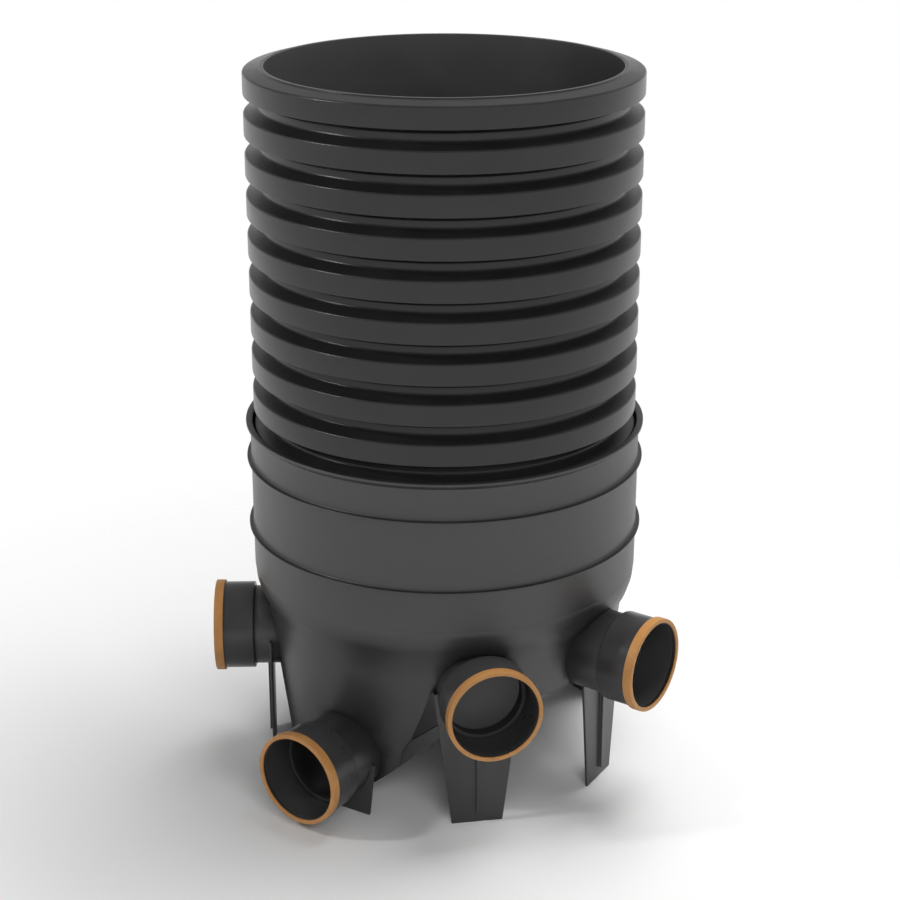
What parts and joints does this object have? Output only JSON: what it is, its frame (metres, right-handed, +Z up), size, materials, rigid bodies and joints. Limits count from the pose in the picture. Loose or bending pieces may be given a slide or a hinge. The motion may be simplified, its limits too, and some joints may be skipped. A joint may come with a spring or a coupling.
{
  "type": "drain inspection chamber",
  "caption": "Moulded plastic drain chamber: a legged base with pipe sockets and snap rings, and a corrugated shaft pushed into its collar.",
  "frame": {"origin": "the shaft's axis at the level that the legs stand on", "axes": "+Z up along the shaft; the side with the outlet and the middle inlet faces -Y; the left inlet faces -X"},
  "size_m": [1.1108, 1.0455, 1.6867],
  "materials": {
    "shaft_plastic": "satin moulded polypropylene",
    "base_plastic": "satin rotationally moulded polyethylene",
    "socket_plastic": "glossy injection moulded polypropylene",
    "ring_plastic": "matt orange brown",
    "seal_rubber": "matt"
  },
  "bodies": {
    "root": {"riser_shaft": "shaft_plastic", "shaft_seal": "seal_rubber", "collar": "base_plastic", "lower_body": "base_plastic", "chamber_floor": "base_plastic", "outlet_neck": "base_plastic", "left_inlet_neck": "base_plastic", "middle_inlet_neck": "base_plastic", "right_inlet_neck": "base_plastic", "outlet_socket": "socket_plastic", "outlet_snap_ring": "ring_plastic", "left_inlet_socket": "socket_plastic", "left_inlet_snap_ring": "ring_plastic", "middle_inlet_socket": "socket_plastic", "middle_inlet_snap_ring": "ring_plastic", "right_inlet_socket": "socket_plastic", "right_inlet_snap_ring": "ring_plastic", "lip_seals": "seal_rubber"}
  },
  "joints": []
}
